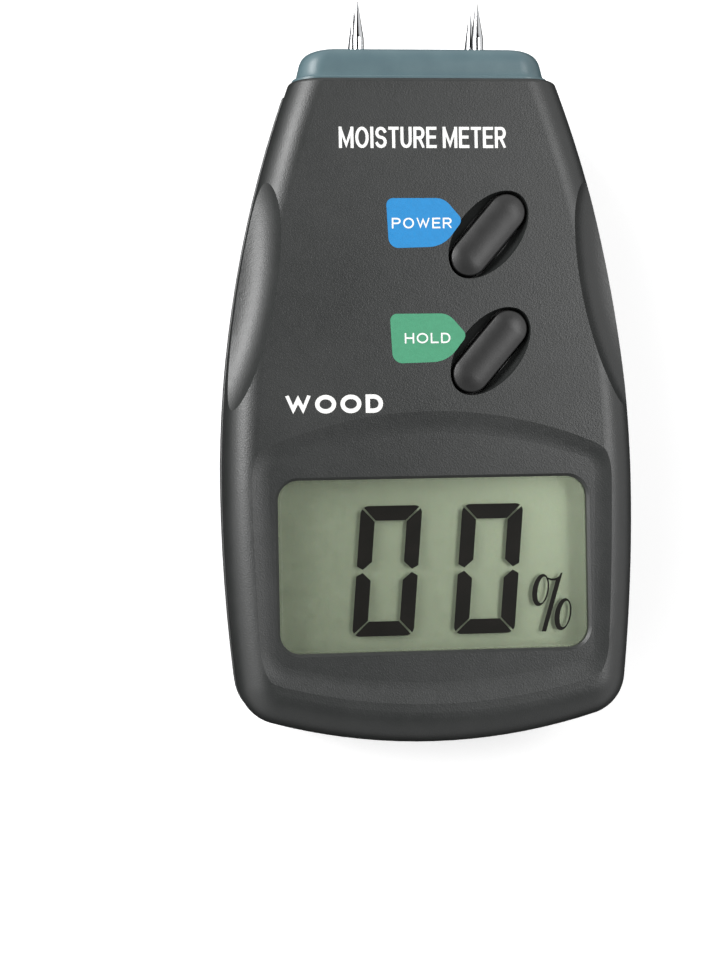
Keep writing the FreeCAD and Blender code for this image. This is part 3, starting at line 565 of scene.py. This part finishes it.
def rounded(corners, steps=8):
    """An outline from corners (x, y, radius), each one rounded."""
    points = []
    for index, (x, y, radius) in enumerate(corners):
        here = Vector((x, y))
        before = (Vector(corners[index - 1][:2]) - here).normalized()
        after = (Vector(corners[(index + 1) % len(corners)][:2]) - here).normalized()
        half = before.angle(after) / 2
        back = radius / math.tan(half)
        centre = here + (before + after).normalized() * (radius / math.sin(half))
        start, end = here + before * back - centre, here + after * back - centre
        swing = start.angle_signed(end)
        for step in range(steps + 1):
            angle = -swing * step / steps
            c, s = math.cos(angle), math.sin(angle)
            points.append((centre.x + start.x * c - start.y * s, centre.y + start.x * s + start.y * c))
    return points


def arc(centre, radii, start, end, steps=10):
    """Points along an arc of an ellipse, from one angle to another, in degrees."""
    points = []
    for step in range(steps + 1):
        angle = math.radians(start + (end - start) * step / steps)
        points.append((centre[0] + radii[0] * math.cos(angle), centre[1] + radii[1] * math.sin(angle)))
    return points


def stroke(path, stretch, thick):
    """The two sides of a line along a path in letter units, and whether its ends meet."""
    points = []
    for x, y in path:
        point = Vector((x * stretch[0], y * stretch[1]))
        if not points or (point - points[-1]).length > SAME_POINT:
            points.append(point)
    closed = (points[0] - points[-1]).length < SAME_POINT
    if closed:
        points.pop()
    else:
        points[0] = points[0] - (points[1] - points[0]).normalized() * thick / 2
        points[-1] = points[-1] + (points[-1] - points[-2]).normalized() * thick / 2
    left, right = [], []
    for index, point in enumerate(points):
        follower = points[(index + 1) % len(points)]
        before, after = point - points[index - 1], follower - point
        if not closed and index == 0:
            before = after
        if not closed and index == len(points) - 1:
            after = before
        side_a = Vector((-before.y, before.x)).normalized()
        side_b = Vector((-after.y, after.x)).normalized()
        mitre = (side_a + side_b).normalized()
        mitre = mitre * (thick / 2 / max(mitre.dot(side_a), MITRE_LIMIT))
        left.append(point + mitre)
        right.append(point - mitre)
    return left, right, closed


def letter_paths(letter):
    """The letter's strokes, as centre lines in a box one unit wide and one high."""
    paths = {
        "D": [[(0, 0), (0, 1)], [(0, 1)] + arc((0.45, 0.5), (0.55, 0.5), 90, -90) + [(0, 0)]],
        "E": [[(0, 0), (0, 1)], [(0, 1), (1, 1)], [(0, 0.52), (0.9, 0.52)], [(0, 0), (1, 0)]],
        "H": [[(0, 0), (0, 1)], [(1, 0), (1, 1)], [(0, 0.52), (1, 0.52)]],
        "I": [[(0, 0), (0, 1)]],
        "L": [[(0, 0), (0, 1)], [(0, 0), (1, 0)]],
        "M": [[(0, 0), (0, 1)], [(1, 0), (1, 1)], [(0, 1), (0.5, 0.0), (1, 1)]],
        "O": [arc((0.5, 0.5), (0.5, 0.5), 90, 450, 40)],
        "P": [[(0, 0), (0, 1)], [(0, 1)] + arc((0.6, 0.74), (0.4, 0.26), 90, -90) + [(0, 0.48)]],
        "S": [arc((0.5, 0.75), (0.47, 0.25), 20, 270) + arc((0.5, 0.25), (0.5, 0.25), 90, -160)[1:]],
        "T": [[(0.5, 0), (0.5, 1)], [(0, 1), (1, 1)]],
        "U": [[(0, 1), (0, 0.32)] + arc((0.5, 0.32), (0.5, 0.32), 180, 360) + [(1, 0.32), (1, 1)]],
        "W": [[(0, 1), (0.26, 0), (0.5, 0.96), (0.74, 0), (1, 1)]],
    }
    paths["R"] = paths["P"] + [[(0.52, 0.48), (1, 0)]]
    return paths[letter]


def word_mesh(text, box, low, high, line):
    """Plain capitals that fill the box. Each stroke stands a hair above the one before it."""
    left, right, bottom, top = box
    thick, gap = line
    shares = [LETTER_WIDTHS.get(letter, 1.0) for letter in text]
    solid = (len(text) - text.count(" ")) * thick + (len(text) - 1) * gap
    unit = (right - left - solid) / sum(shares)
    bm = bmesh.new()
    x = left
    for letter, share in zip(text, shares):
        if letter == " ":
            x += share * unit + gap
            continue
        size = (share * unit, top - bottom - thick)
        x_end = x + size[0] + thick
        start = Vector((x + thick / 2, bottom + thick / 2))
        for index, path in enumerate(letter_paths(letter)):
            left_side, right_side, is_ring = stroke(path, size, thick)
            outlines = []
            for side in (left_side, right_side):
                placed = [start + point for point in side]
                outlines.append([(min(max(at.x, x), x_end), min(max(at.y, bottom), top)) for at in placed])
            level = high + index * STROKE_STEP
            if is_ring:
                ring(bm, *outlines, low, level)
            else:
                plate(bm, [outlines[0] + list(reversed(outlines[1]))], low, level)
        x += size[0] + thick + gap
    return closed_mesh(bm, "word")


def label_outline(box):
    """A label with a straight left side and a rounded point to the right, a little above half its height."""
    left, right, bottom, top = box
    width, tall = right - left, top - bottom
    return rounded([
        (left, top, 1.1),
        (left + 0.78 * width, top, 3.0),
        (right + LABEL_POINT, bottom + 0.56 * tall, 1.2),
        (left + 0.76 * width, bottom + 0.03 * tall, 5.0),
        (left + 0.03 * width, bottom, 1.7),
    ])


def prints():
    """The title, the note above the display, and the two pointed labels with their words."""
    white = printed("white_ink", WHITE)
    low, high = FACE_Z - PRINT_SINK, FACE_Z + PRINT_LIFT
    add_piece("title", word_mesh("MOISTURE METER", TITLE_BOX, low, high, TITLE_LINE), white)
    add_piece("note", word_mesh("WOOD", NOTE_BOX, low, high, NOTE_LINE), white)
    inks = {button: printed(*ink) for button, ink in LABEL_INKS.items()}
    for button, label in LABELS.items():
        name, outline = button + "_label", label_outline(label["box"])
        add_piece(name, plate_mesh(name, [outline], low, high), inks[button])
        word = word_mesh(label["word"], label["word_box"], low, high + PRINT_LIFT, LABEL_LINE)
        add_piece(button + "_word", word, white)


def shifted(points, shift):
    return [(shift[0] + x, shift[1] + y) for x, y in points]


def slanted(points, origin):
    """A digit's outline, leaning to the right and set down at its place."""
    lean = math.tan(DIGIT_SLANT)
    return [(origin[0] + x + y * lean, origin[1] + y) for x, y in points]


def flipped(points, width=None, height=None):
    """The outline mirrored within the digit's width, its height, or both."""
    x_flip = [(width - x, y) for x, y in points] if width is not None else points
    return [(x, height - y) for x, y in x_flip] if height is not None else x_flip


def zero_segments():
    """The six lit bars of a nought: mitred at the corners, pointed at the middle."""
    width, height = DIGIT_SIZE
    mitre_gap = DIGIT_GAP / math.sqrt(2) / 2
    inner_corner, point, outer_corner = [height / 2 + rise for rise in DIGIT_POINT]
    centre, radii = (DIGIT_CORNER, height - DIGIT_CORNER), (DIGIT_CORNER, DIGIT_CORNER)
    left_half = [(DIGIT_STROKE + 2 * mitre_gap, height - DIGIT_STROKE)]
    left_half += arc(centre, radii, CORNER_MIDDLE - CORNER_CUT, 90, 6)
    top = left_half + list(reversed(flipped(left_half, width=width)))
    side = arc(centre, radii, 180, CORNER_MIDDLE + CORNER_CUT, 6) + [
        (DIGIT_STROKE, height - DIGIT_STROKE - 2 * mitre_gap),
        (DIGIT_STROKE, inner_corner),
        (POINT_ACROSS, point),
        (0.0, outer_corner),
    ]
    bars = [top, flipped(top, height=height)]
    for x_flip in (None, width):
        for y_flip in (None, height):
            bars.append(flipped(side, x_flip, y_flip))
    return bars


def oval(centre, half, steps=40):
    """The outline of a percent sign's bowl, or of its hole, leaning to the right."""
    points = []
    for step in range(steps):
        angle = 2 * math.pi * step / steps
        y = half[1] * math.sin(angle)
        points.append((centre[0] + half[0] * math.cos(angle) + y * BOWL_LEAN, centre[1] + y))
    return points


def percent_mesh(low, high):
    """A percent sign with broad left-hand strokes and a tie from the upper bowl to the bar."""
    bm = bmesh.new()
    for bowl in shifted(PERCENT_BOWLS, PERCENT_ORIGIN):
        hole = shifted([bowl], BOWL_HOLE_SHIFT)[0]
        ring(bm, oval(bowl, BOWL_HALF), oval(hole, BOWL_HOLE_HALF), low, high)
    plate(bm, [shifted(PERCENT_BAR, PERCENT_ORIGIN)], low, high)
    return closed_mesh(bm, "percent")


def figures():
    """The lit figures, in the gap between the display's glass plates."""
    ink = segment_ink()
    low, high = CELL_Z - FIGURE_THICK / 2, CELL_Z + FIGURE_THICK / 2
    for name, origin in DIGIT_ORIGINS.items():
        bars = [slanted(bar, origin) for bar in zero_segments()]
        add_piece(name, plate_mesh(name, bars, low, high), ink)
    add_piece("percent_sign", percent_mesh(low, high), ink)


def front_plate(made):
    """The display's front glass and its polarizer, bonded in one plate."""
    low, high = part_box("lcd_front_glass")
    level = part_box("lcd_front_polarizer")[1].z
    left, right, bottom, top = low.x / MM, high.x / MM, low.y / MM, high.y / MM
    loop = [(left, bottom), (right, bottom), (right, top), (left, top)]
    name = "lcd_front_plate"
    piece = add_piece(name, plate_mesh(name, [loop], low.z, level), made["polarizer"])
    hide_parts("lcd_front_glass", "lcd_front_polarizer")
    return piece


# Setting


def floor():
    """A wide sheet just under the meter, which takes its shadow but throws no light back at it."""
    mesh = bpy.data.meshes.new("floor")
    level = CAD_BOX[0][2] - FLOOR_GAP
    corners = [(-1, -1), (1, -1), (1, 1), (-1, 1)]
    mesh.from_pydata([(x * FLOOR_REACH, y * FLOOR_REACH, level) for x, y in corners], [], [(0, 1, 2, 3)])
    sheet = bpy.data.objects.new("floor", mesh)
    bpy.context.scene.collection.objects.link(sheet)
    mesh.materials.append(floor_finish())
    sheet.visible_diffuse = False
    sheet.visible_glossy = False


def gathered(name, pieces, state):
    """A group of pieces that a lamp takes in (INCLUDE), or passes over (EXCLUDE)."""
    group = bpy.data.collections.new(name)
    for piece in pieces:
        group.objects.link(piece)
    for member in group.collection_objects:
        member.light_linking.link_state = state
    return group


def softbox(name, place, aim, size, power, lit):
    """A soft rectangular lamp, and the group of pieces that it lights or leaves out."""
    light = bpy.data.lights.new(name, "AREA")
    light.shape = "RECTANGLE"
    light.size, light.size_y = size
    light.energy = power
    lamp = bpy.data.objects.new(name, light)
    bpy.context.scene.collection.objects.link(lamp)
    lamp.location = place
    lamp.rotation_euler = (Vector(aim) - Vector(place)).to_track_quat("-Z", "Y").to_euler()
    lamp.light_linking.receiver_collection = lit
    return lamp


def surround():
    """A room with pale sides and ends, dark overhead and below, and with a dark band along the meter."""
    world = bpy.data.worlds.new("surround")
    bpy.context.scene.world = world
    world.use_nodes = True
    n = Nodes(world.node_tree)
    way = n.add("ShaderNodeSeparateXYZ")
    n.feed(way.inputs[0], n.add("ShaderNodeTexCoord").outputs["Generated"])

    def brightest(glow, patches):
        for axis, start, full, strength in patches:
            patch = n.span(way.outputs[axis], start, full, 0.0, strength, "SMOOTHSTEP")
            glow = n.maths("MAXIMUM", patch, glow)
        return glow

    middle, inner, outer = STRIPE
    aside = n.maths("ABSOLUTE", n.maths("SUBTRACT", way.outputs["X"], middle), 0.0)
    stripe = n.span(aside, inner, outer, STRIPE_GLOW, 1.0, "SMOOTHSTEP")
    glow = brightest(n.maths("MULTIPLY", brightest(DARK_GLOW, SIDE_GLOWS), stripe), END_GLOWS)
    above = n.span(way.outputs["Z"], *HORIZON, LOW_GLOW, 1.0, "SMOOTHSTEP")
    background = world.node_tree.nodes["Background"]
    n.feed(background.inputs["Strength"], n.maths("MULTIPLY", glow, above))
    n.feed(background.inputs["Color"], (1.0, 1.0, 1.0, 1.0))


def lighting():
    """Two softboxes, which the window doesn't mirror, and a lamp that lights only the display's film."""
    nodes = frame["nodes"]
    all_but_window = gathered("all_but_window", [nodes["display_window"]], "EXCLUDE")
    for name, settings in SOFTBOXES.items():
        softbox(name, **settings, lit=all_but_window)
    lamp = softbox("display_softbox", **FILM_LAMP, lit=gathered("film", [nodes["lcd_reflector"]], "INCLUDE"))
    rims = [nodes[name] for name in ("front_cover", "display_frame", "window_adhesive")]
    lamp.light_linking.blocker_collection = gathered("rims", rims, "EXCLUDE")


def camera():
    data = bpy.data.cameras.new("camera")
    data.lens = CAMERA_LENS
    data.clip_start = CAMERA_NEAR
    view = bpy.data.objects.new("camera", data)
    bpy.context.scene.collection.objects.link(view)
    view.location = CAMERA_PLACE
    view.rotation_euler = Euler(CAMERA_TURN)
    bpy.context.scene.camera = view


def main():
    made = dress_frame()
    flatten_domes()
    prints()
    figures()
    let_light_in([front_plate(made), frame["nodes"]["lcd_rear_glass"], frame["nodes"]["display_window"]])
    floor()
    surround()
    lighting()
    camera()
    bpy.context.scene.view_settings.view_transform = "Standard"


main()
